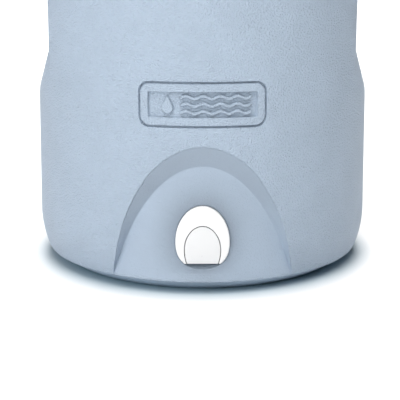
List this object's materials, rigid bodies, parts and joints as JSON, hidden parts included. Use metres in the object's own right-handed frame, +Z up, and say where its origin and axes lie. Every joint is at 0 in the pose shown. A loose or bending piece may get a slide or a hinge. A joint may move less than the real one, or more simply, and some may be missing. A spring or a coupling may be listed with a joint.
{
  "type": "beverage dispenser",
  "caption": "Insulated round drinks jug with a recessed push-button tap in an arched front, a foam-filled screw lid and a folding bail handle.",
  "frame": {"origin": "centre of the foot on the ground", "axes": "+Z up along the jug's axis, the tap faces -Y, the handle's pivots lie along X and it is folded back towards +Y"},
  "size_m": [0.2732, 0.2718, 0.292],
  "materials": {
    "shell_blue": "fine pebbled moulded polyethylene",
    "foam": "poured polyurethane foam",
    "liner_white": "smooth moulded polyethylene",
    "plug_grey": "smooth",
    "handle_white": "satin",
    "tap_white": "satin gloss",
    "button_white": "satin gloss",
    "gasket_rubber": "matt",
    "spring_steel": "bright wire",
    "lid_white": "fine pebbled moulded polyethylene"
  },
  "bodies": {
    "jug": {"outer_shell": "shell_blue", "neck_collar": "shell_blue", "insulation_foam": "foam", "inner_liner": "liner_white", "foam_fill_plug": "plug_grey", "pivot_pin_right": "handle_white", "pivot_pin_left": "handle_white", "faucet_housing": "tap_white", "faucet_outer_gasket": "gasket_rubber", "faucet_inner_gasket": "gasket_rubber", "faucet_nut": "tap_white", "return_spring": "spring_steel"},
    "button": {"faucet_button": "button_white", "valve_stem": "tap_white", "valve_seal": "gasket_rubber", "stem_clip": "tap_white"},
    "lid_riser": {"lid_gasket": "gasket_rubber"},
    "lid": {"lid_cover": "lid_white", "lid_liner": "liner_white", "lid_foam": "foam", "lid_fill_plug": "plug_grey"},
    "handle": {"handle_bail": "handle_white"}
  },
  "joints": [
    {"name": "lid_lift", "type": "slide", "parent": "jug", "child": "lid_riser", "axis": [0, 0, 1], "range_m": [0, 0.0601]},
    {"name": "lid_turn", "type": "hinge", "parent": "lid_riser", "child": "lid", "pos_m": [0, 0, 0.25], "axis": [0, 0, 1], "range_deg": [0, 540]},
    {"name": "handle_swing", "type": "hinge", "parent": "jug", "child": "handle", "pos_m": [0, 0, 0.24], "axis": [1, 0, 0], "range_deg": [0, 180]},
    {"name": "faucet_push", "type": "slide", "parent": "jug", "child": "button", "axis": [0, 1, 0], "range_m": [0, 0.005], "stiffness_N_per_m": 600, "springref_m": -0.004, "deforming": ["return_spring"]}
  ],
  "couplings": [
    {"joint": "lid_lift", "follows": "lid_turn", "m_per_rad": 0.0063662}
  ]
}
